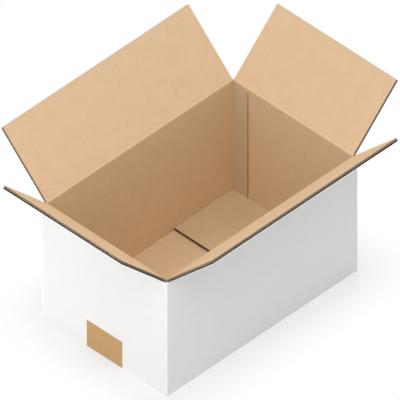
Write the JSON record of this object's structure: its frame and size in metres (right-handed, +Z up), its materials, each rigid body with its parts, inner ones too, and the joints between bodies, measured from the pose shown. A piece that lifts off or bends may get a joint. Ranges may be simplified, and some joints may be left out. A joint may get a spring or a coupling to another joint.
{
  "type": "double-wall shipping box",
  "caption": "Slotted shipping box of double-wall corrugated board, white outside and plain brown inside, taped at the bottom, with its hinged top flaps flared open.",
  "frame": {"origin": "under the middle of the box, on the surface that it stands on", "axes": "+X along the long walls, towards the end wall that the glue tab is glued inside; +Y across the box, towards the long wall that carries the glue tab; +Z up"},
  "size_m": [0.5804, 0.4364, 0.3121],
  "materials": {
    "board_body": "double-wall corrugated board, smooth white outer liner and natural brown inner liner",
    "board_flap": "the same board, seen on its natural brown inner liner",
    "packing_tape": "plain tan packing tape, satin"
  },
  "bodies": {
    "box": {"box_body": "board_body", "bottom_tape": "packing_tape"},
    "long_flap_front": {"long_flap_front": "board_flap"},
    "long_flap_back": {"long_flap_back": "board_flap"},
    "end_flap_left": {"end_flap_left": "board_flap"},
    "end_flap_right": {"end_flap_right": "board_flap"}
  },
  "joints": [
    {"name": "front_crease", "type": "hinge", "parent": "box", "child": "long_flap_front", "pos_m": [0, -0.128, 0.21815], "axis": [1, 0, 0], "range_deg": [-135, 125]},
    {"name": "back_crease", "type": "hinge", "parent": "box", "child": "long_flap_back", "pos_m": [0, 0.128, 0.21815], "axis": [-1, 0, 0], "range_deg": [-135, 125]},
    {"name": "left_crease", "type": "hinge", "parent": "box", "child": "end_flap_left", "pos_m": [-0.2, 0, 0.21496], "axis": [0, -1, 0], "range_deg": [-135, 125]},
    {"name": "right_crease", "type": "hinge", "parent": "box", "child": "end_flap_right", "pos_m": [0.2, 0, 0.21496], "axis": [0, 1, 0], "range_deg": [-135, 125]}
  ]
}
